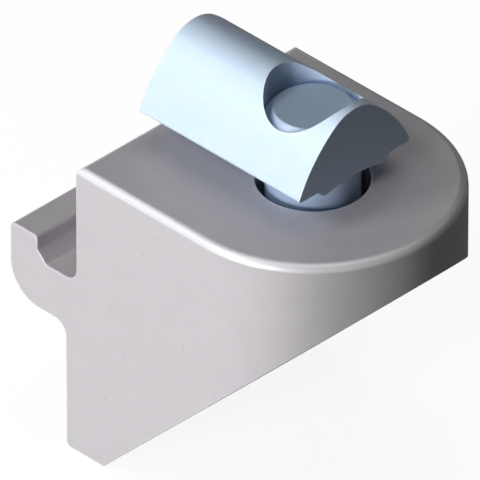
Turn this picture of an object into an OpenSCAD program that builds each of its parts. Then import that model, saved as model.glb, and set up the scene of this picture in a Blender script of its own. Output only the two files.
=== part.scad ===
// Angle clamp bracket for two square slotted profiles that meet in a T.
// The hook at the back takes the lip of the first profile's slot, the flat top meets the second
// profile, and a screw pulls a half-round slot nut down inside that profile's slot.
// Millimetres, +Z up. The origin is where the screw's axis crosses the top face, +X points to the
// rounded nose and Y runs across the bracket.

/* [Profiles that it joins] */
// Width of the square profile that the hook holds
profile_w = 20; // [18:0.5:24]
// Opening of the slots, between their lips
slot_w = 5; // [4.6:0.1:5.6]
// Thickness of a slot's lip
lip_t = 1.8; // [1.4:0.1:2.4]

/* [Bracket body] */
// Width across the bracket, which the nose rounds off as a half circle
body_w = 16; // [13:0.5:19]
// Distance from the upper back face to the screw's axis
axis_reach = 9.25; // [8:0.25:12]
// Height of the leg, from the top face down to the foot
leg_h = 18; // [15:0.5:24]
// Thickness of the foot
foot_t = 2.7; // [1.5:0.1:4]
// Height of the nose, above where the sloping underside ends
nose_h = 2.65; // [1.5:0.05:3.2]
// Radius of the rolled edge round the top face
top_edge_r = 0.5; // [0.2:0.1:1]
// Radius of the foot's back edge
foot_edge_r = 0.3; // [0.1:0.05:0.8]

/* [Hook] */
// How far the lower back face stands behind the upper one
back_step = 0.8; // [0.6:0.05:1.4]
// Gap that is left under the lip's edge, so that the screw can draw the profiles together
draw_gap = 0.25; // [0.1:0.05:0.5]
// Play of the lip between the lower back face and the hook
lip_play = 0.25; // [0.1:0.05:0.5]
// Thickness of the hook's tip, behind the lip
tip_t = 2; // [1.2:0.1:3]
// Height of the tip above the groove's floor
tip_h = 1.5; // [1:0.1:2]
// Thickness of the hook under the groove
neck_h = 3; // [2.4:0.1:4]
// Bevel between the groove's floor and the tip
floor_bevel = 0.65; // [0.3:0.05:0.9]
// Radius of the groove where it meets the upper back face
groove_r = 0.8; // [0.4:0.05:1.2]
// Radius of the hook's heel
heel_r = 2.1; // [1:0.1:2.4]
// Radius where the hook runs into the lower back face
root_r = 0.8; // [0.4:0.05:1.4]
// Radius of the tip's edge beside the groove
tip_inner_r = 0.25; // [0.1:0.05:0.5]
// Radius of the tip's outer edge
tip_outer_r = 0.4; // [0.1:0.05:0.6]

/* [Screw] */
// Diameter of the screw's stem
screw_d = 5; // [4:0.5:6]
// Length of the screw under its head
screw_len = 8; // [7.5:0.5:9]
// Width of the chamfer at the screw's end
screw_end_chamfer = 0.43; // [0.2:0.01:0.8]
// Diameter of the domed head
head_d = 9.5; // [8:0.1:11]
// Height of the domed head
head_h = 2.75; // [2.2:0.05:3.4]
// Height of the head's straight rim, beside its seat
head_rim_h = 0.3; // [0.1:0.05:0.6]
// Width across flats of the hexagon socket
socket_af = 3; // [2:0.5:4]
// Depth of the hexagon socket
socket_depth = 1.6; // [1:0.1:2]
// Material under the head, from the top face down to the head's seat
web_t = 3.55; // [2.5:0.05:4.5]
// Play of the stem in the bracket's hole, on the diameter
hole_play = 1; // [0.4:0.1:1.4]
// Play of the head in its pocket, on the diameter
pocket_play = 0.5; // [0.2:0.1:1]

/* [Slot nut] */
// Length of the nut along the slot
nut_len = 11.6; // [9:0.1:15]
// Distance from the screw's axis to the nut's front end
nut_front = 3; // [2.9:0.05:4.5]
// Width of the nut across its wings
nut_w = 8; // [7:0.1:9]
// Height of the domed back above the wings
dome_h = 3.98; // [3.2:0.02:4.6]
// Radius of the domed back's crown
crown_r = 2.3; // [1.8:0.05:2.6]
// Height of the wings' upright edges
wing_edge_h = 0.22; // [0.1:0.02:0.5]
// Radius of the wings' lower corners
wing_corner_r = 0.15; // [0.05:0.01:0.2]
// Play of the rib in the slot, on its width
rib_play = 0.5; // [0.2:0.05:0.8]
// Height of the rib under the wings
rib_h = 0.4; // [0.2:0.05:0.8]
// Depth of the hollow along the rib's underside
rib_hollow = 0.25; // [0.1:0.05:0.3]
// Width of the flat land on each side of that hollow
rib_land = 0.25; // [0.2:0.05:0.6]
// Running clearance of the screw in the nut's thread, on the radius
thread_play = 0.05; // [0.01:0.01:0.1]

/* [Hidden] */
$fn = 96;

// How far a cutting shape runs past the face that it opens
over = 1;

// The hook and groove, as distances behind the upper back face and heights under the top face
back_x = -axis_reach;
leg_back_x = back_x - back_step;
tip_inner_x = leg_back_x - lip_t - lip_play;
tip_outer_x = tip_inner_x - tip_t;
groove_z = -((profile_w - slot_w) / 2 - draw_gap);
tip_z = groove_z + tip_h;
neck_z = groove_z - neck_h;

// The sloping underside runs from the foot's front edge to the nose
foot_front_x = leg_back_x + foot_t;
nose_r = body_w / 2;
slope = (leg_h - nose_h) / (nose_r - foot_front_x);

// The screw hangs from its seat in the pocket
hole_d = screw_d + hole_play;
pocket_d = head_d + pocket_play;
stem_r = screw_d / 2;
screw_end_z = screw_len - web_t;
head_r = head_d / 2;
head_dome_h = head_h - head_rim_h;
head_dome_r = (head_r * head_r + head_dome_h * head_dome_h) / (2 * head_dome_h);
socket_tip_h = socket_af / 4;

// The nut's wings stand on the lip's inner face. The crown's arc turns into the flanks' arcs where
// its own normal points 4 up for 3 across. The flanks' radius is the one that brings them down to
// the top of the wings' edges, to a thousandth.
wing_z = lip_t;
dome_z = wing_z + dome_h;
crown_z = dome_z - crown_r;
crown_normal = [0.6, 0.8];
crown_end = [0, crown_z] + crown_r * crown_normal;
wing_edge = [nut_w / 2, wing_z + wing_edge_h - crown_z];
flank_gap = (pow(norm(wing_edge), 2) - pow(crown_r, 2)) / (crown_r - wing_edge * crown_normal) / 2;
flank_r = round(1000 * (flank_gap + crown_r)) / 1000;
flank_centre = crown_end - flank_r * crown_normal;
rib_w = slot_w - rib_play;
rib_z = wing_z - rib_h;

// Direction from one point to another
function heading(from, to) = (to - from) / norm(to - from);

// Angle inside a corner, between its two sides
function corner_angle(before, at, after) = acos(heading(at, before) * heading(at, after));

// Distance from a corner to the ends of its arc
function arc_reach(before, at, after, r) = r / tan(corner_angle(before, at, after) / 2);

// Where a corner's arc starts and ends, or the corner itself where it is sharp
function arc_ends(before, at, after, r) =
    r == 0 ? [at] :
    [for (side = [before, after]) at + arc_reach(before, at, after, r) * heading(at, side)];

// Positive where an outline that runs counter-clockwise turns outwards
function turn(before, at, after) = cross(at - before, after - at);

// The round slice between an arc and its chord. The arc bulges to the chord's right where side
// is 1, which is outwards on an outline that runs counter-clockwise, and to its left where it is -1.
module arc_slice(from, to, r, side = 1) {
    along = heading(from, to);
    out = side * [along[1], -along[0]];
    middle = (from + to) / 2;
    centre = middle - out * sqrt(r * r - pow(norm(to - from) / 2, 2));
    intersection() {
        translate(centre) circle(r);
        polygon([from, to, to + r * out, from + r * out]);
    }
}

// A closed outline, counter-clockwise, of corners that each hold [x, y, radius]
module rounded_outline(corners) {
    last = len(corners) - 1;
    at = [for (corner = corners) [corner[0], corner[1]]];
    before = [for (i = [0:last]) at[i == 0 ? last : i - 1]];
    after = [for (i = [0:last]) at[i == last ? 0 : i + 1]];
    turns = [for (i = [0:last]) turn(before[i], at[i], after[i])];
    ends = [for (i = [0:last]) arc_ends(before[i], at[i], after[i], corners[i][2])];
    difference() {
        union() {
            polygon([for (pair = ends) each pair]);
            for (i = [0:last]) {
                if (corners[i][2] > 0 && turns[i] > 0) {
                    arc_slice(ends[i][0], ends[i][1], corners[i][2]);
                }
            }
        }
        for (i = [0:last]) {
            if (corners[i][2] > 0 && turns[i] < 0) {
                arc_slice(ends[i][0], ends[i][1], corners[i][2], side = -1);
            }
        }
    }
}

// Side outline of the bracket, with x along the bracket and y up. It runs past the nose, which
// the plan rounds off.
module side_outline() {
    past_nose_x = nose_r + over;
    rounded_outline([
        [past_nose_x, 0, 0],
        [back_x, 0, top_edge_r],
        [back_x, groove_z, groove_r],
        [tip_inner_x + floor_bevel, groove_z, 0],
        [tip_inner_x, groove_z + floor_bevel, 0],
        [tip_inner_x, tip_z, tip_inner_r],
        [tip_outer_x, tip_z, tip_outer_r],
        [tip_outer_x, neck_z, heel_r],
        [leg_back_x, neck_z, root_r],
        [leg_back_x, -leg_h, foot_edge_r],
        [foot_front_x, -leg_h, 0],
        [past_nose_x, -nose_h + over * slope, 0]
    ]);
}

// The bracket's plan at full height, with its rolled top edge: straight sides and a half-round nose
module plan_block() {
    rotate([90, 0, -90]) linear_extrude(-tip_outer_x) {
        rounded_outline([
            [-nose_r, -leg_h, 0],
            [nose_r, -leg_h, 0],
            [nose_r, 0, top_edge_r],
            [-nose_r, 0, top_edge_r]
        ]);
    }
    rotate([0, 0, -90]) rotate_extrude(angle = 180) {
        rounded_outline([
            [0, -leg_h, 0],
            [nose_r, -leg_h, 0],
            [nose_r, 0, top_edge_r],
            [0, 0, 0]
        ]);
    }
}

// Cast bracket: the plan and the side outline crossed, then bored for the screw
module angle_bracket() {
    color("silver") difference() {
        intersection() {
            plan_block();
            translate([0, nose_r, 0]) rotate([90, 0, 0]) linear_extrude(body_w) side_outline();
        }
        translate([0, 0, -leg_h]) cylinder(h = leg_h + over, d = hole_d);
        translate([0, 0, -leg_h]) cylinder(h = leg_h - web_t, d = pocket_d);
    }
}

// Button-head screw, head down, as half of its outline turned about the axis
module clamp_screw() {
    color("lightsteelblue") difference() {
        rotate_extrude() {
            polygon([
                [0, -web_t],
                [stem_r, -web_t],
                [stem_r, screw_end_z - screw_end_chamfer],
                [stem_r - screw_end_chamfer, screw_end_z],
                [0, screw_end_z]
            ]);
            translate([0, -web_t - head_rim_h]) square([head_r, head_rim_h]);
            intersection() {
                translate([0, -web_t - head_h + head_dome_r]) circle(head_dome_r);
                translate([0, -web_t - head_h]) square([head_r, head_dome_h]);
            }
        }
        translate([0, 0, -web_t - head_h - over]) {
            cylinder(h = socket_depth + over, d = socket_af / cos(30), $fn = 6);
        }
        translate([0, 0, -web_t - head_h + socket_depth]) {
            cylinder(h = socket_tip_h, d1 = socket_af, d2 = 0);
        }
    }
}

// Section of the domed back: two flanks that meet under the crown, and upright wing edges
module dome_section() {
    intersection() {
        rounded_outline([
            [-nut_w / 2, wing_z, wing_corner_r],
            [nut_w / 2, wing_z, wing_corner_r],
            [nut_w / 2, crown_end[1], 0],
            [-nut_w / 2, crown_end[1], 0]
        ]);
        translate(flank_centre) circle(flank_r);
        translate([-flank_centre[0], flank_centre[1]]) circle(flank_r);
    }
    arc_slice(crown_end, [-crown_end[0], crown_end[1]], crown_r);
}

// Section of the rib that drops between the lips, with its hollow underside. It reaches as far
// up into the dome as it stands out below.
module rib_section() {
    top_y = rib_w / 2 + rib_h;
    root_z = wing_z + rib_h;
    hollow_y = rib_w / 2 - rib_land;
    hollow_r = (pow(hollow_y, 2) + pow(rib_hollow, 2)) / (2 * rib_hollow);
    difference() {
        polygon([
            [-rib_w / 2, rib_z],
            [rib_w / 2, rib_z],
            [top_y, wing_z],
            [top_y, root_z],
            [-top_y, root_z],
            [-top_y, wing_z]
        ]);
        translate([0, rib_z + rib_hollow - hollow_r]) circle(hollow_r);
    }
}

// Half-round slot nut, drawn along the slot and bored near its front end
module slot_nut() {
    color("lightsteelblue") difference() {
        translate([nut_front - nut_len, 0, 0]) rotate([90, 0, 90]) linear_extrude(nut_len) {
            dome_section();
            rib_section();
        }
        cylinder(h = dome_z + over, r = stem_r + thread_play);
    }
}

angle_bracket();
clamp_screw();
slot_nut();
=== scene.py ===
# %% [markdown]
# # An angle clamp bracket, dressed for its picture
# The real object is a small die-cast bracket that joins two slotted profiles into a T. A hook at
# its back takes the lip of one profile, and a screw from below draws a half-round slot nut down
# inside the other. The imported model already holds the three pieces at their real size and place.
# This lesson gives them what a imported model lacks: softened edges, cast and plated surfaces, a
# pale studio and the camera of a plain isometric view.

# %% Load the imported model
import math

import bmesh
import bpy
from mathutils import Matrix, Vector


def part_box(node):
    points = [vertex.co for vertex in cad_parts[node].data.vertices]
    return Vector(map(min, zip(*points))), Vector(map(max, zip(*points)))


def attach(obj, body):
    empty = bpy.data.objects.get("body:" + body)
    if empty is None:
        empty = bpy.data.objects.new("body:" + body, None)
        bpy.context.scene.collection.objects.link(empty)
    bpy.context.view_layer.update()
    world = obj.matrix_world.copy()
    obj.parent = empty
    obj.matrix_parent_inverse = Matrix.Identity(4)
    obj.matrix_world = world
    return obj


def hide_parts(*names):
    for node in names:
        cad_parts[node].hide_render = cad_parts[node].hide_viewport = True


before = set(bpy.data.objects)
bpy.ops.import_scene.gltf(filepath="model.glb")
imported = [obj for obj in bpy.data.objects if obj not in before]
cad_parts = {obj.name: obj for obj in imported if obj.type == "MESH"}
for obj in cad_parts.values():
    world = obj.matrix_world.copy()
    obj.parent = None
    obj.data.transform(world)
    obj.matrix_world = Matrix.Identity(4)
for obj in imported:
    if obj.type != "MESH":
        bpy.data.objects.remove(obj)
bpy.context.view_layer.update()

print("nodes:", sorted(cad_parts))

# %% [markdown]
# Many of Blender's tools merge or skip what lies closer than a tenth of a millimetre, because
# they are made for things of room size. So each piece is modelled with one unit to the
# millimetre, and the finished piece is shrunk a thousand times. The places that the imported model
# knows are read from its boxes, so that the new pieces sit exactly where the old ones are.

# %% Read the driving places, in millimetres
MM = 0.001


def short(place):
    """A place rounded for print."""
    return [round(value, 2) for value in place]


def box_mm(node):
    """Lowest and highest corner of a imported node, in millimetres."""
    low, high = (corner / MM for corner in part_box(node))
    print(node, "from", short(low), "to", short(high), "mm")
    return low, high


bracket_low, bracket_high = box_mm("angle_bracket")
_, screw_high = box_mm("clamp_screw")
nut_low, nut_high = box_mm("slot_nut")

# %% [markdown]
# Modelling by hand means: pick something, then do something to it. A script can't click, so it
# picks by place. These helpers open a piece and select the faces or edges that pass a test, and
# the operators then act on that selection, exactly as they would after a click.

# %% Selection helpers
def only(piece):
    """Selects one piece and makes it the active one."""
    bpy.ops.object.select_all(action="DESELECT")
    piece.select_set(True)
    bpy.context.view_layer.objects.active = piece


def edit(piece):
    """Opens a piece in edit mode, with nothing picked in it."""
    only(piece)
    bpy.ops.object.mode_set(mode="EDIT")
    bpy.ops.mesh.select_all(action="DESELECT")


def done():
    """Leaves edit mode."""
    bpy.ops.object.mode_set(mode="OBJECT")


def pick_all():
    """Picks the whole piece."""
    bpy.ops.mesh.select_all(action="SELECT")


def pick(kind, test):
    """Picks every face or edge that passes a test, and nothing else."""
    bpy.ops.mesh.select_mode(type=kind)
    bpy.ops.mesh.select_all(action="DESELECT")
    data = bpy.context.edit_object.data
    mesh = bmesh.from_edit_mesh(data)
    for item in {"FACE": mesh.faces, "EDGE": mesh.edges}[kind]:
        if test(item):
            item.select_set(True)
    bmesh.update_edit_mesh(data)


def pick_faces(test):
    """Picks the faces whose centre and normal pass a test."""
    pick("FACE", lambda face: test(face.calc_center_median(), face.normal))


def pick_edges(test):
    """Picks the edges whose two ends both pass a test."""
    pick("EDGE", lambda rim: all(test(corner.co) for corner in rim.verts))


# %% [markdown]
# A handful of operators makes all three pieces: extrude, bisect, bevel, merge, and the one that
# turns the faces outwards. Each gets a short name and only the settings that this job needs. Two
# lengths count as the same if they differ by less than a hair, because a place read from a packed
# box is rounded.

# %% Shaping helpers
NEAR = 0.004
ROUND_PROFILE = 0.5


def near(a, b):
    """True if two lengths are the same, apart from rounding."""
    return abs(a - b) < NEAR


def extrude(move):
    """Pulls the picked faces, edges or corners out by a distance."""
    bpy.ops.mesh.extrude_region_move(TRANSFORM_OT_translate={"value": move})


def cut(point, normal, keep_all=True):
    """Cuts what is picked along a plane, and can drop the side that the normal points to."""
    bpy.ops.mesh.bisect(
        plane_co=point, plane_no=normal, use_fill=not keep_all, clear_outer=not keep_all
    )


def round_off(radius, segments):
    """Rounds the picked square edges to a radius, or chamfers them with one segment."""
    bpy.ops.mesh.bevel(
        offset=radius, offset_type="OFFSET", segments=segments,
        profile=ROUND_PROFILE, clamp_overlap=False,
    )


def merge_close(distance=NEAR):
    """Merges corners that lie closer together than a distance."""
    pick_all()
    bpy.ops.mesh.remove_doubles(threshold=distance)


def face_outwards():
    """Turns every face's normal to the outside."""
    pick_all()
    bpy.ops.mesh.normals_make_consistent(inside=False)


# %% [markdown]
# Holes are drilled with a Boolean modifier, whose tool is a plain round bar on the screw's axis.
# The bar reaches a millimetre past the surface that it breaks through, because a Boolean needs
# surfaces that clearly cross. Where it leaves corners almost on top of each other, the bevel that
# comes later would fold over itself, so every drilling ends with a merge.

# %% Drilling helpers
PAST = 1
CLEAN = 0.01


def apply_modifier(piece, kind, **settings):
    """Adds a modifier, sets it and applies it."""
    only(piece)
    modifier = piece.modifiers.new(kind.title(), kind)
    for name, value in settings.items():
        setattr(modifier, name, value)
    bpy.ops.object.modifier_apply(modifier=modifier.name)


def drill(piece, tool):
    """Takes the shape of a tool out of a piece, and merges corners that end up too close."""
    apply_modifier(piece, "BOOLEAN", operation="DIFFERENCE", solver="EXACT", object=tool)
    bpy.data.objects.remove(tool)
    edit(piece)
    merge_close(CLEAN)
    done()
    print(piece.name, "drilled,", len(piece.data.polygons), "faces")


def bit(radius, low, high, sides):
    """A drill bit on the screw's axis, between two heights."""
    bpy.ops.mesh.primitive_cylinder_add(
        vertices=sides, radius=radius, depth=high - low, location=(0, 0, (low + high) / 2)
    )
    return bpy.context.object


# %% [markdown]
# Every piece is finished the same way. A narrow bevel breaks each sharp edge, because no real
# edge is perfectly sharp, and that thin band is what catches the light. Weighted normals keep the
# flat faces flat beside it. Last, the piece is shrunk to metres and rides on the body of the
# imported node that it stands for.

# %% The finishing helper
EDGE_SEGMENTS = 3
EDGE_ANGLE = 32
SMOOTH_ANGLE = 44
FLAT_FACES_WIN = 100


def finish(piece, node, edge, body, angle=EDGE_ANGLE):
    """Breaks the sharp edges, smooths, shrinks to metres and rides on the node's body."""
    apply_modifier(
        piece, "BEVEL", width=edge, segments=EDGE_SEGMENTS, limit_method="ANGLE",
        angle_limit=math.radians(angle), use_clamp_overlap=False,
    )
    only(piece)
    bpy.ops.object.shade_smooth_by_angle(angle=math.radians(SMOOTH_ANGLE))
    apply_modifier(piece, "WEIGHTED_NORMAL", keep_sharp=True, weight=FLAT_FACES_WIN)
    piece.scale = (MM, MM, MM)
    bpy.ops.object.transform_apply(location=True, rotation=True, scale=True)
    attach(piece, body)
    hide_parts(node)
    print(piece.name, "finished,", len(piece.data.polygons), "faces,",
          short(piece.dimensions / MM), "mm")


# %% [markdown]
# ## The cast bracket
# A die caster sees this bracket as one outline, pushed through the die from side to side, and
# then rounded off at the nose. The screw's axis is the z axis, and the top face lies at zero, so
# every size below is a place that a ruler could check.

# %% Sizes of the bracket, in millimetres
back_x = -9.25
leg_back_x = -10.05
tip_inner_x = -12.1
groove_z = -7.25
neck_z = -10.25
tip_z = -5.75
nose_drop = 2.65
foot_thickness = 2.7

half_width, top_z = bracket_high.y, bracket_high.z
hook_x, foot_z = bracket_low.x, bracket_low.z
nose_x = half_width
foot_front_x = leg_back_x + foot_thickness
under_normal = Vector((top_z - nose_drop - foot_z, 0, foot_front_x - nose_x)).normalized()
print("the underside slopes", round(math.degrees(math.acos(-under_normal.z))), "degrees")

# %% [markdown]
# The bracket could be a single traced outline, but growing it face by face shows how the form
# works: a block, a slope cut under it, a leg that steps back, an arm at the back and a tip on the
# arm. A face is found by the way it looks. At the end, cuts that run across flat faces are
# dissolved again.

# %% Block, slope, leg, arm and tip
SQUARELY = 0.9
FLAT_ANGLE = 0.5

bpy.ops.object.select_all(action="DESELECT")
bpy.ops.mesh.primitive_cube_add(
    size=1, location=((back_x + nose_x) / 2, 0, (foot_z + top_z) / 2)
)
bracket = bpy.context.object
bracket.name = "cast_angle_bracket"
bracket.scale = (nose_x - back_x, 2 * half_width, top_z - foot_z)
bpy.ops.object.transform_apply(location=True, rotation=True, scale=True)

edit(bracket)
pick_all()
cut((nose_x, 0, top_z - nose_drop), under_normal, keep_all=False)
for height in (groove_z, neck_z):
    pick_faces(lambda centre, normal: normal.x < -SQUARELY)
    cut((0, 0, height), (0, 0, 1))
pick_faces(lambda centre, normal: normal.x < -SQUARELY and centre.z < groove_z)
extrude((leg_back_x - back_x, 0, 0))
pick_faces(lambda centre, normal: normal.x < -SQUARELY and neck_z < centre.z < groove_z)
extrude((hook_x - leg_back_x, 0, 0))
pick_faces(lambda centre, normal: normal.z > SQUARELY and centre.x < leg_back_x)
cut((tip_inner_x, 0, 0), (1, 0, 0))
pick_faces(lambda centre, normal: normal.z > SQUARELY and centre.x < tip_inner_x)
extrude((0, 0, tip_z - groove_z))
pick_all()
bpy.ops.mesh.dissolve_limited(angle_limit=math.radians(FLAT_ANGLE))
done()
print("the plain form has", len(bracket.data.polygons), "faces")

# %% [markdown]
# The outline's corners run from side to side, each with the radius that its place in the die asks
# for: a generous heel, a tight tip, and a chamfer between the groove's floor and the tip. A bevel
# with one segment is a chamfer, so one table serves for both. Each row has the corner's place
# along x and z, its radius in millimetres and its number of segments.

# %% Round the corners of the hook and the leg
corners = {
    "groove's root": (back_x, groove_z, 0.8, 10),
    "groove's bevel": (tip_inner_x, groove_z, 0.65, 1),
    "tip, inside": (tip_inner_x, tip_z, 0.25, 6),
    "tip, outside": (hook_x, tip_z, 0.4, 8),
    "heel": (hook_x, neck_z, 2.1, 20),
    "neck": (leg_back_x, neck_z, 0.8, 10),
    "foot": (leg_back_x, foot_z, 0.3, 6),
}

edit(bracket)
for name, (x, z, radius, segments) in corners.items():
    pick_edges(lambda co: near(co.x, x) and near(co.z, z))
    round_off(radius, segments)
    print(name, "at", short((x, z)), "by", radius, "mm in", segments, "segments")
done()

# %% [markdown]
# The nose is a half circle in plan. The two upright front edges are bevelled by half the width,
# so that their arcs meet in the middle and leave no flat between them. The rolled edge round the
# top face goes last, because it has to run round the nose in one sweep.

# %% Round the nose and roll the top edge
NOSE_SEGMENTS = 36
ROLL_RADIUS = 0.5
ROLL_SEGMENTS = 8

edit(bracket)
for side_y in (half_width, -half_width):
    pick_edges(lambda co: near(co.x, nose_x) and near(co.y, side_y))
    round_off(half_width, NOSE_SEGMENTS)
merge_close()
pick_edges(lambda co: near(co.z, top_z))
round_off(ROLL_RADIUS, ROLL_SEGMENTS)
face_outwards()
done()
print("the rounded form has", len(bracket.data.polygons), "faces")

# %% [markdown]
# The screw comes up through a clearance hole, and its head hides in a wide pocket that opens in
# the sloping underside. Both are drilled with round bits on the screw's axis.

# %% Drill the hole and the pocket
hole_r = 3
pocket_r = 5
web_z = -3.55
BORE_SIDES = 96
CAST_EDGE = 0.07

drill(bracket, bit(hole_r, foot_z, top_z + PAST, BORE_SIDES))
drill(bracket, bit(pocket_r, foot_z, web_z, BORE_SIDES))
finish(bracket, "angle_bracket", CAST_EDGE, "bracket")

# %% [markdown]
# The two steel pieces start from outlines instead of blocks. An outline starts as one corner and
# grows by extruding that corner from place to place. Where it runs round, the same corner is spun
# about the arc's centre, which leaves a chain of short edges behind it.

# %% Outline helpers
def first_corner(name, place):
    """Starts a piece as one picked corner, in edit mode."""
    bpy.ops.mesh.primitive_plane_add(size=1, location=(0, 0, 0))
    piece = bpy.context.object
    piece.name = name
    edit(piece)
    bpy.ops.mesh.select_mode(type="VERT")
    pick_all()
    bpy.ops.mesh.merge(type="CENTER")
    bpy.ops.transform.translate(value=place)
    return piece


def corner_now():
    """Place of the one picked corner."""
    mesh = bmesh.from_edit_mesh(bpy.context.edit_object.data)
    return next(corner.co.copy() for corner in mesh.verts if corner.select)


def draw_to(place):
    """Extrudes the picked corner to a place."""
    extrude(Vector(place) - corner_now())


def sweep(centre, turn, axis, steps):
    """Spins the picked corner about a centre, by the right-hand rule about an axis.
    The tool itself turns the other way, so its angle is negative."""
    bpy.ops.mesh.spin(steps=steps, angle=-turn, center=centre, axis=axis)


# %% [markdown]
# ## The clamp screw
# The screw has a low button head, which stays inside the pocket. The head's dome is part of a
# ball, and the ball's radius follows from the dome's height and the head's radius.

# %% Sizes of the screw, in millimetres
stem_r = 2.5
head_h = 2.75
head_rim_h = 0.3
end_chamfer = 0.43

head_r, stem_end_z = screw_high.x, screw_high.z
seat_z = web_z
head_z = seat_z - head_h
dome_h = seat_z - head_rim_h - head_z
dome_r = (head_r**2 + dome_h**2) / (2 * dome_h)
dome_turn = math.asin(head_r / dome_r)
print("the head's dome has a radius of", round(dome_r, 2), "mm")

# %% [markdown]
# A lathe part is drawn as half of its outline and spun about its axis: out along the domed head,
# up its rim, in to the stem and up to the chamfered end. After a full turn the last row lies on
# the first one, and the corners on the axis lie on each other, so they are merged.

# %% Spin the screw
DOME_STEPS = 10
LATHE_STEPS = 96

screw = first_corner("plated_clamp_screw", (0, 0, head_z))
sweep((0, 0, head_z + dome_r), -dome_turn, (0, 1, 0), DOME_STEPS)
for x, z in (
    (head_r, seat_z),
    (stem_r, seat_z),
    (stem_r, stem_end_z - end_chamfer),
    (stem_r - end_chamfer, stem_end_z),
    (0, stem_end_z),
):
    draw_to((x, 0, z))
pick_all()
bpy.ops.mesh.spin(steps=LATHE_STEPS, angle=math.tau, center=(0, 0, 0), axis=(0, 0, 1))
merge_close()
face_outwards()
done()
print("the turned screw has", len(screw.data.polygons), "faces")

# %% [markdown]
# The key's socket is a six-sided hole with the drill's cone left at its bottom, and a shallow
# countersink where the punch has rounded the mouth. The cone is a little slimmer than the
# hexagon and starts a little inside it, so that here too the surfaces clearly cross.

# %% Punch the socket
SOCKET_SIDES = 6
CONE_SIDES = 48
CONE_SLIMMER = 0.06
CONE_OVERLAP = 0.05
SCREW_EDGE = 0.05
socket_flat_r = 1.5
socket_depth = 1.6
socket_cone_h = 0.75
mouth_r = 1.9


def cone_bit(radius, height, low):
    """A pointed bit on the screw's axis, standing on its wide end."""
    bpy.ops.mesh.primitive_cone_add(
        vertices=CONE_SIDES, radius1=radius, radius2=0, depth=height,
        location=(0, 0, low + height / 2),
    )
    return bpy.context.object


socket_corner_r = socket_flat_r / math.cos(math.pi / SOCKET_SIDES)
socket_end_z = head_z + socket_depth
hexagon = bit(socket_corner_r, head_z - PAST, socket_end_z, SOCKET_SIDES)
hexagon.rotation_euler.z = math.pi / SOCKET_SIDES
drill(screw, hexagon)
drill(screw, cone_bit(socket_flat_r - CONE_SLIMMER, socket_cone_h, socket_end_z - CONE_OVERLAP))
mouth_z = head_z + dome_r - math.sqrt(dome_r**2 - mouth_r**2)
drill(screw, cone_bit(mouth_r + PAST, mouth_r + PAST, mouth_z - PAST))
finish(screw, "clamp_screw", SCREW_EDGE, "screw")

# %% [markdown]
# ## The slot nut
# The nut is a length of drawn bar with a domed back and two wings, which bear on the inside of
# the slot's lips. Between the wings a rib drops into the gap of the slot, with sloping sides and
# a shallow hollow along its middle.

# %% Sizes of the nut, in millimetres
wing_z = 1.8
wing_edge_h = 0.22
wing_corner_r = 0.15
crown_r = 2.3
rib_half_w = 2.25
rib_land = 0.25
rib_hollow = 0.25
bore_r = 2.55

back_end_x, front_end_x = nut_low.x, nut_high.x
half_wings, dome_z, rib_z = nut_high.y, nut_high.z, nut_low.z
rib_root = rib_half_w + wing_z - rib_z
corner_y, corner_z = half_wings - wing_corner_r, wing_z + wing_corner_r
print("the bar is", round(front_end_x - back_end_x, 2), "mm long")

# %% [markdown]
# The domed back is three arcs that run smoothly into each other: a tight crown between two slow
# flanks. The crown ends where its own normal points 4 up for 3 across. Each flank's centre lies
# on that normal, as far behind the crown's centre as brings the arc down to the top of the wing's
# upright edge. That distance follows from the two triangles that the centres make with the edge.

# %% Work out the arcs
crown_centre = Vector((back_end_x, 0, dome_z - crown_r))
crown_normal = Vector((0, 0.6, 0.8))
wing_top = Vector((back_end_x, half_wings, wing_z + wing_edge_h))
reach = wing_top - crown_centre
flank_gap = (reach.length_squared - crown_r**2) / (crown_r - reach.dot(crown_normal)) / 2
flank_centre = crown_centre - flank_gap * crown_normal
mirrored_centre = Vector((back_end_x, -flank_centre.y, flank_centre.z))
flank_turn = (wing_top - flank_centre).angle(crown_normal)
crown_turn = 2 * crown_normal.angle(Vector((0, 0, 1)))
hollow_half_w = rib_half_w - rib_land
hollow_r = (hollow_half_w**2 + rib_hollow**2) / (2 * rib_hollow)
hollow_turn = 2 * math.asin(hollow_half_w / hollow_r)
print("crown radius", crown_r, "mm, flank radius", round(crown_r + flank_gap, 3), "mm")

# %% [markdown]
# The section starts at a wing's lower corner and runs round against the clock: up the wing, over
# the dome, down the other wing and back along the rib. It is then filled and pulled out to the
# nut's length. The flanks' steps are chosen so that no line of the dome runs along the bore's
# rim, where it would leave a sliver.

# %% Draw the section and pull it out
CORNER_STEPS = 5
CROWN_STEPS = 28
FLANK_STEPS = 12
HOLLOW_STEPS = 12
ALONG = (1, 0, 0)

nut = first_corner("plated_slot_nut", (back_end_x, corner_y, wing_z))
sweep((back_end_x, corner_y, corner_z), math.pi / 2, ALONG, CORNER_STEPS)
draw_to(wing_top)
sweep(flank_centre, flank_turn, ALONG, FLANK_STEPS)
sweep(crown_centre, crown_turn, ALONG, CROWN_STEPS)
sweep(mirrored_centre, flank_turn, ALONG, FLANK_STEPS)
draw_to((back_end_x, -half_wings, corner_z))
sweep((back_end_x, -corner_y, corner_z), math.pi / 2, ALONG, CORNER_STEPS)
for y, z in ((-rib_root, wing_z), (-rib_half_w, rib_z), (-hollow_half_w, rib_z)):
    draw_to((back_end_x, y, z))
sweep((back_end_x, 0, rib_z + rib_hollow - hollow_r), -hollow_turn, ALONG, HOLLOW_STEPS)
for y, z in ((rib_half_w, rib_z), (rib_root, wing_z), (corner_y, wing_z)):
    draw_to((back_end_x, y, z))
merge_close()
bpy.ops.mesh.edge_face_add()
extrude((front_end_x - back_end_x, 0, 0))
face_outwards()
done()
print("the bar has", len(nut.data.polygons), "faces")

# %% [markdown]
# The bore goes through last. The rib's sides and the wings meet at slow angles, where a broken
# edge would only fold over itself, so on the nut only the edges above 50 degrees are broken.

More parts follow.
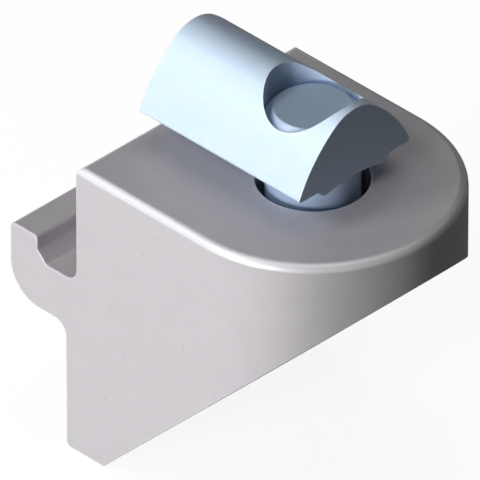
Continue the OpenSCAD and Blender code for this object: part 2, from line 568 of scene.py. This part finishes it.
# %% Bore the nut
NUT_EDGE = 0.035
NUT_EDGE_ANGLE = 50

drill(nut, bit(bore_r, rib_z - PAST, dome_z + PAST, BORE_SIDES))
finish(nut, "slot_nut", NUT_EDGE, "nut", NUT_EDGE_ANGLE)

# %% [markdown]
# ## The camera
# The picture is a plain isometric view: 45 degrees round from the front and 35.26 degrees up, so
# that the three axes look equally long. Such a view has no perspective, but the other views of
# this scene have to frame themselves, which only a lens can do. A very long lens from far away is
# close to both.

# %% Place the camera
HALF_VIEW = math.radians(0.75)
FRAME_MM = 24.63
NEAREST, FURTHEST = 0.01, 10

aim = Vector((-1.335, -3.957, -2.623)) * MM
towards_camera = Vector((1, -1, 1)).normalized()
camera_data = bpy.data.cameras.new("isometric_camera")
camera_data.lens = camera_data.sensor_width / 2 / math.tan(HALF_VIEW)
camera_data.clip_start, camera_data.clip_end = NEAREST, FURTHEST
camera = bpy.data.objects.new("isometric_camera", camera_data)
bpy.context.scene.collection.objects.link(camera)
camera.location = aim + towards_camera * (FRAME_MM / 2 * MM / math.tan(HALF_VIEW))
camera.rotation_mode = "QUATERNION"
camera.rotation_quaternion = (-towards_camera).to_track_quat("-Z", "Y")
bpy.context.scene.camera = camera
print("lens", round(camera_data.lens), "mm, from", round((camera.location - aim).length, 3), "m")

# %% [markdown]
# ## The recipe book for surfaces
# A surface in Blender is a graph of nodes. Written out node by node, a simple sum fills a page.
# So one small class wraps a socket and does sums: adding two of its sockets places the Math node
# that adds them. The reflected forms do the same where a plain number stands first.

# %% Sockets that do sums
class Wire:
    """A shader socket. Sums with it place the Math nodes that work them out."""

    def __init__(self, recipe, socket):
        self.recipe = recipe
        self.socket = socket

    def sum(self, operation, first, second):
        return self.recipe.node("Math", {"operation": operation}, {0: first, 1: second})

    def __add__(self, other):
        return self.sum("ADD", self, other)

    def __radd__(self, other):
        return self.sum("ADD", other, self)

    def __sub__(self, other):
        return self.sum("SUBTRACT", self, other)

    def __rsub__(self, other):
        return self.sum("SUBTRACT", other, self)

    def __mul__(self, other):
        return self.sum("MULTIPLY", self, other)

    def __rmul__(self, other):
        return self.sum("MULTIPLY", other, self)

    def at_most(self, other):
        return self.sum("MINIMUM", self, other)


# %% [markdown]
# Every other node comes from one method of the second class. It takes the node's type, its
# settings, which change what sockets it has and so go first, and what goes into its sockets. A
# wire is linked, and a plain value is set.

# %% Recipes that place nodes
class Recipe:
    """The nodes of one material, or of the world."""

    def __init__(self, owner):
        owner.use_nodes = True
        self.owner = owner
        self.tree = owner.node_tree
        self.tree.nodes.clear()

    def node(self, kind, settings=None, sockets=None, output=0):
        """Places a node, sets it, fills its sockets and gives back one output, if it has any."""
        placed = self.tree.nodes.new("ShaderNode" + kind)
        for name, value in (settings or {}).items():
            setattr(placed, name, value)
        for name, value in (sockets or {}).items():
            if isinstance(value, Wire):
                self.tree.links.new(value.socket, placed.inputs[name])
            else:
                placed.inputs[name].default_value = value
        return Wire(self, placed.outputs[output]) if placed.outputs else None

    def serve(self, shader, end="OutputMaterial"):
        """Ends the recipe with the shader that shows."""
        self.node(end, sockets={"Surface": shader})
        return self.owner


# %% [markdown]
# Patterns on small parts are easiest to size in millimetres, so the first node of each recipe
# turns Blender's metres into them. Noise gives the grain and the cloudy changes of tone. Other
# marks are drawn by where they are: a lathe leaves rings, so its pattern depends only on the
# distance from the axis, and a drawn bar has lines along its length, so its noise is stretched
# that way.

# %% Helpers for patterns
CLOUD_DETAIL = 4
CLOUD_RANGE = 0.3, 0.7
RING_DETAIL = 2


def millimetres(recipe, stretch=(1, 1, 1)):
    """Places on the piece in millimetres, stretched along each axis."""
    place = recipe.node("TexCoord", output="Object")
    scale = tuple(factor / MM for factor in stretch)
    return recipe.node("VectorMath", {"operation": "MULTIPLY"}, {0: place, 1: scale})


def noise(recipe, place, per_mm, detail, rough=0.5):
    """Smooth noise from 0 to 1, with about so many waves to the millimetre."""
    return recipe.node("TexNoise", sockets={
        "Vector": place, "Scale": per_mm, "Detail": detail, "Roughness": rough,
    })


def band(recipe, value, low, high):
    """0 below the low value, 1 above the high one, and smooth between."""
    return recipe.node(
        "MapRange", {"interpolation_type": "SMOOTHSTEP"},
        {"Value": value, "From Min": low, "From Max": high},
    )


def clouds(recipe, place, per_mm):
    """Slow noise, pulled apart into pale and dark patches."""
    return band(recipe, noise(recipe, place, per_mm, CLOUD_DETAIL), *CLOUD_RANGE)


def rings(recipe, place, centre, across, per_mm):
    """Noise that depends only on the distance from a line: the marks of a turning tool."""
    arm = recipe.node("VectorMath", {"operation": "SUBTRACT"}, {0: place, 1: centre})
    flat = recipe.node("VectorMath", {"operation": "MULTIPLY"}, {0: arm, 1: across})
    radius = recipe.node("VectorMath", {"operation": "LENGTH"}, {0: flat}, "Value")
    return recipe.node(
        "TexNoise", {"noise_dimensions": "1D"},
        {"W": radius, "Scale": per_mm, "Detail": RING_DETAIL},
    )


def blend(recipe, share, first, second):
    """Mixes two colours by a share from 0 to 1. The colour sockets are the node's 6 and 7."""
    return recipe.node("Mix", {"data_type": "RGBA"}, {0: share, 6: first, 7: second}, 2)


# %% [markdown]
# Wear shows where hands and other parts touch: along the edges. The edge finder compares the true
# normal with one that is averaged over a small ball. On an open face the two agree, and near an
# edge they part. A second finder tells which way a surface looks, so that a face can have marks
# that the faces beside it don't have.

# %% Helpers for wear and faces
EDGE_SAMPLES = 6
EDGE_RANGE = 0.004, 0.12


def edges(recipe, width_mm):
    """0 on open faces, up to 1 along the edges."""
    soft = recipe.node("Bevel", {"samples": EDGE_SAMPLES}, {"Radius": width_mm * MM})
    true = recipe.node("NewGeometry", output="Normal")
    same = recipe.node("VectorMath", {"operation": "DOT_PRODUCT"}, {0: soft, 1: true}, "Value")
    return band(recipe, 1 - same, *EDGE_RANGE)


def looking(recipe, axis):
    """How far a surface looks along an axis, from 0 to 1, on either side."""
    true = recipe.node("NewGeometry", output="Normal")
    turn = recipe.node("VectorMath", {"operation": "DOT_PRODUCT"}, {0: true, 1: axis}, "Value")
    return recipe.node("Math", {"operation": "ABSOLUTE"}, {0: turn})


def relief(recipe, height, depth_mm):
    """Turns a pattern into fine relief, so deep in millimetres."""
    return recipe.node(
        "Bump", sockets={"Strength": 1, "Distance": depth_mm * MM, "Height": height}
    )


# %% [markdown]
# The casting comes out of its die with a fine skin and is blasted to an even grey. Its tone
# hardly changes, but a close look finds a grain, a few pores and metal rubbed paler along the
# edges. The rolled edge gets a painted highlight on top: a pale colour where the lamps would
# make it shine. The metallic share is low, because blasted aluminium under its own oxide
# scatters light almost as paint does.

# %% Numbers for the casting
CAST_METAL = 0.15
CAST_ROUGHNESS = 0.42
CAST_GREYS = (0.57, 0.545, 0.575, 1), (0.65, 0.625, 0.655, 1)
PORE_GREY = (0.3, 0.29, 0.3, 1)
# Pale grey for worn edges, also used as the painted highlight on the rolled edge.
PALE_EDGE_AND_HIGHLIGHT_GREY = (0.88, 0.87, 0.9, 1)
CAST_CLOUDS_PER_MM = 0.8
GRAIN_PER_MM, GRAIN_DETAIL, GRAIN_HARSHNESS = 6, 3, 0.6
PORES_PER_MM, PORE_DETAIL = 3.2, 1
PORE_PEAKS = 0.72, 0.82
CAST_EDGE_MM = 0.25
CAST_RELIEF_MM = 0.01
print("the casting's grain is", round(1 / GRAIN_PER_MM, 2), "mm wide")

# %% [markdown]
# The rolled edge is found by place and by slope: it lies in the top half millimetre, and it looks
# neither sideways, as the walls do, nor straight up, as the top face does. There it gets a painted
# highlight, a pale colour where the lamps would make the roll shine.

# %% Cast aluminium
ROLL_STARTS = -0.55, -0.45
PAST_THE_WALL = 0.1, 0.45
BEFORE_THE_TOP = 0.86, 0.99


def cast_aluminium():
    """Blasted casting with grain, pores, paler worn edges and a painted highlight on the rolled
    edge.
    """
    recipe = Recipe(bpy.data.materials.new("blasted_cast_aluminium"))
    place = millimetres(recipe)
    cloud = clouds(recipe, place, CAST_CLOUDS_PER_MM)
    grain = noise(recipe, place, GRAIN_PER_MM, GRAIN_DETAIL, GRAIN_HARSHNESS)
    pores = band(recipe, noise(recipe, place, PORES_PER_MM, PORE_DETAIL), *PORE_PEAKS)
    height = recipe.node("SeparateXYZ", sockets={0: place}, output=2)
    upward = looking(recipe, (0, 0, 1))
    # Painted highlight: the rolled edge is made paler where the lamps would make it shine.
    roll_highlight = band(recipe, height, *ROLL_STARTS) * band(recipe, upward, *PAST_THE_WALL)
    roll_highlight = roll_highlight * (1 - band(recipe, upward, *BEFORE_THE_TOP))
    # Edge wear from the edge finder, plus the painted highlight on the rolled edge.
    pale_edges = (edges(recipe, CAST_EDGE_MM) * 0.6 + roll_highlight * 0.85).at_most(1)
    dull = blend(recipe, cloud * 0.2 + grain * 0.8, *CAST_GREYS)
    pored = blend(recipe, pores * 0.25, dull, PORE_GREY)
    return recipe.serve(recipe.node("BsdfPrincipled", sockets={
        "Base Color": blend(recipe, pale_edges, pored, PALE_EDGE_AND_HIGHLIGHT_GREY),
        "Roughness": CAST_ROUGHNESS + cloud * 0.04 + pores * 0.1 - pale_edges * 0.12,
        "Metallic": CAST_METAL,
        "Normal": relief(recipe, grain - pores * 0.4, CAST_RELIEF_MM),
    }))


# %% [markdown]
# Zinc plate is bluish and a little brighter than the casting. It is so thin that whatever the
# tool left in the steel shows through it, so both steel pieces share one plate and differ in
# their marks. Along the edges the plate is rubbed smoother and paler.

# %% Zinc plate over tool marks
ZINC_METAL = 0.22
ZINC_ROUGHNESS = 0.36
ZINC_CLOUDS_PER_MM = 0.9
ZINC_EDGE_MM = 0.2
ZINC_RELIEF_MM = 0.004


def worked(cloud, marks):
    """The share of the paler tone: a little cloud and mostly tool marks."""
    return cloud * 0.15 + marks * 0.85


def plated(recipe, cloud, marks, dull, rubbed_tone):
    """Zinc plate in a dull tone over tool marks, rubbed along its edges."""
    pale_edges = edges(recipe, ZINC_EDGE_MM)
    return recipe.serve(recipe.node("BsdfPrincipled", sockets={
        "Base Color": blend(recipe, pale_edges * 0.5, dull, rubbed_tone),
        "Roughness": ZINC_ROUGHNESS + marks * 0.1 + cloud * 0.03 - pale_edges * 0.08,
        "Metallic": ZINC_METAL,
        "Normal": relief(recipe, marks, ZINC_RELIEF_MM),
    }))


# %% [markdown]
# The nut is cut from drawn bar, so lines run along its length. Its two ends keep the arcs of the
# cutter, and the plate over them is painted darker, as painted shade on both ends. The ends are
# the faces that look along the bar.

# %% Zinc plate on the drawn nut
BAR_BLUES = (0.6, 0.75, 0.94, 1), (0.71, 0.84, 0.99, 1)
# Darker blues on the nut's ends: painted shade.
END_SHADE_BLUES = (0.41, 0.51, 0.64, 1), (0.49, 0.58, 0.69, 1)
RUBBED_BAR = (0.85, 0.92, 0.98, 1)
LINES_PER_MM, LINE_DETAIL, LINE_HARSHNESS = 9, 3, 0.6
LONG_LINES = (0.1, 1, 1)
CUTTER_CENTRE = (0, -14, -9)
ARCS_PER_MM = 5
ALONG_THE_BAR = 0.9, 0.97


def zinc_on_bar():
    """Plate over drawn lines, and over milled arcs on the ends, with painted shade on the ends."""
    recipe = Recipe(bpy.data.materials.new("zinc_plated_bar"))
    place = millimetres(recipe)
    cloud = clouds(recipe, place, ZINC_CLOUDS_PER_MM)
    stretched = millimetres(recipe, LONG_LINES)
    drawn = noise(recipe, stretched, LINES_PER_MM, LINE_DETAIL, LINE_HARSHNESS)
    arcs = rings(recipe, place, CUTTER_CENTRE, (0, 1, 1), ARCS_PER_MM)
    ends = band(recipe, looking(recipe, (1, 0, 0)), *ALONG_THE_BAR)
    marks = drawn * (1 - ends) + arcs * ends
    paler = worked(cloud, marks)
    sides = blend(recipe, paler, *BAR_BLUES)
    # The ends' darker plate is painted shade.
    painted_shade_ends = blend(recipe, paler, *END_SHADE_BLUES)
    return plated(recipe, cloud, marks, blend(recipe, ends, sides, painted_shade_ends), RUBBED_BAR)


# %% [markdown]
# The screw has the same plate over a turned surface, so its marks are rings: round the axis on
# the flat end and the head, and one above another on the stem.

# %% Zinc plate on the turned screw
SCREW_BLUES = (0.39, 0.5, 0.67, 1), (0.49, 0.61, 0.79, 1)
RUBBED_SCREW = (0.8, 0.88, 0.96, 1)
FACED_PER_MM = 9
TURNED_PER_MM, TURNED_DETAIL, TURNED_HARSHNESS = 7, 2, 0.6
ROUND_THE_STEM = (0.1, 0.1, 1)
ACROSS_THE_AXIS = 0.3, 0.6


def zinc_on_screw():
    """Plate over turned marks, and over rings on the faces that look along the axis."""
    recipe = Recipe(bpy.data.materials.new("zinc_plated_screw"))
    place = millimetres(recipe)
    cloud = clouds(recipe, place, ZINC_CLOUDS_PER_MM)
    faced = rings(recipe, place, (0, 0, 0), (1, 1, 0), FACED_PER_MM)
    stretched = millimetres(recipe, ROUND_THE_STEM)
    turned = noise(recipe, stretched, TURNED_PER_MM, TURNED_DETAIL, TURNED_HARSHNESS)
    level = band(recipe, looking(recipe, (0, 0, 1)), *ACROSS_THE_AXIS)
    marks = turned * (1 - level) + faced * level
    dull = blend(recipe, worked(cloud, marks), *SCREW_BLUES)
    return plated(recipe, cloud, marks, dull, RUBBED_SCREW)


# %% [markdown]
# Each piece now gets its surface. One long recipe with other numbers for each piece would do as
# well, but three short ones are easier to change one at a time.

# %% Put the surfaces on
for piece, surface in (
    (bracket, cast_aluminium()),
    (screw, zinc_on_screw()),
    (nut, zinc_on_bar()),
):
    piece.data.materials.clear()
    piece.data.materials.append(surface)
    print(piece.name, "has", len(surface.node_tree.nodes), "nodes in", surface.name)

# %% [markdown]
# ## The studio
# Metal shows what stands around it. A white room on all sides would fill the shaded side with
# light, so a photographer puts a dark card beside the piece. Here the card is a gradient: what a
# shine sees in the floor and in the air falls from a lit wall at the front left to nearly black at
# the back right. A ray that comes straight from the camera sees white all over.

# %% Rays and the dark card
WALL_LIGHT = 1.45
CARD_DARK = 0.05


def rays(recipe):
    """1 for a ray straight from the camera, and 1 for a ray that sees the studio in a shine."""
    straight, glossy, through = (
        recipe.node("LightPath", output="Is " + kind + " Ray")
        for kind in ("Camera", "Glossy", "Transmission")
    )
    return straight, (glossy + through).at_most(1)


def card(recipe, place, wall_ends, card_starts):
    """The lit wall at the front left, falling to the dark card at the back right."""
    to_the_card = (1, 1, 0)
    along = recipe.node(
        "VectorMath", {"operation": "DOT_PRODUCT"}, {0: place, 1: to_the_card}, "Value"
    )
    return WALL_LIGHT - band(recipe, along, wall_ends, card_starts) * (WALL_LIGHT - CARD_DARK)


# %% [markdown]
# The floor is a plain pale sheet that the leg stands on. It is matt grey paper that takes the
# piece's shadow, plus a little light of its own that only a straight look or a shine can see, so
# that the sheet is almost white and still doesn't light the piece from below. From behind it is
# clear, which leaves the underside open to view.

# %% Floor
FLOOR_SIZE = 1.6
FLOOR_GREY = (0.22, 0.22, 0.22, 1)
FLOOR_GLOW = 0.9
FLOOR_CARD_MM = -22, 4

bpy.ops.mesh.primitive_plane_add(size=FLOOR_SIZE, location=(0, 0, foot_z * MM))
floor = bpy.context.object
floor.name = "studio_floor"
recipe = Recipe(bpy.data.materials.new("pale_floor"))
straight, shine = rays(recipe)
bright = card(recipe, millimetres(recipe), *FLOOR_CARD_MM)
paper = recipe.node("BsdfDiffuse", sockets={"Color": FLOOR_GREY})
glow = recipe.node(
    "Emission", sockets={"Color": straight + shine * bright, "Strength": FLOOR_GLOW}
)
lit = recipe.node("AddShader", sockets={0: paper, 1: glow})
behind = recipe.node("NewGeometry", output="Backfacing")
clear = recipe.node("BsdfTransparent")
floor.data.materials.append(
    recipe.serve(recipe.node("MixShader", sockets={0: behind, 1: lit, 2: clear}))
)
print("the floor lies at", round(foot_z, 2), "mm")

# %% [markdown]
# The air is treated in the same way. To everything but a straight look and a shine it is nearly
# dark, so the lamps alone decide which side is bright.

# %% Air
AMBIENT = 0.016
AIR_CARD = -0.9, 0.1

air = Recipe(bpy.data.worlds.new("studio_air"))
straight, shine = rays(air)
bright = card(air, air.node("TexCoord", output="Generated"), *AIR_CARD)
tone = AMBIENT + straight * (1 - AMBIENT) + shine * (bright - AMBIENT)
sky = air.node("Background", sockets={"Color": tone})
bpy.context.scene.world = air.serve(sky, "OutputWorld")
print("the air's own light is", AMBIENT, "and the card's", CARD_DARK)

# %% [markdown]
# Three soft lamps do the work. The key lamp stands low in front of the flat side, which makes
# that side the brightest and lets the round nose fall off evenly into shade. The edge lamp stands
# where the rolled edge mirrors it into the camera. The top lamp lifts the top face and softens
# the nut's shadow on it.

# %% Lamps
def lamp(name, place, size, watts):
    """A square soft lamp at a place in metres, turned towards the piece."""
    data = bpy.data.lights.new(name, "AREA")
    data.size, data.energy = size, watts
    placed = bpy.data.objects.new(name, data)
    bpy.context.scene.collection.objects.link(placed)
    placed.location = place
    placed.rotation_mode = "QUATERNION"
    placed.rotation_quaternion = (aim - Vector(place)).to_track_quat("-Z", "Y")
    print(name, watts, "W, from", round((aim - Vector(place)).length, 2), "m")


lamp("key_lamp", place=(0.015, -0.35, 0.062), size=0.11, watts=0.9)
lamp("edge_lamp", place=(-0.144, -0.26, 0.268), size=0.12, watts=0.3)
lamp("top_lamp", place=(0, 0.05, 0.4), size=0.3, watts=0.3)

# %% [markdown]
# Last, the view transform is set to Standard, because the default one greys the whites that a
# plain product picture needs.

# %% Colours and the end
bpy.context.scene.view_settings.view_transform = "Standard"
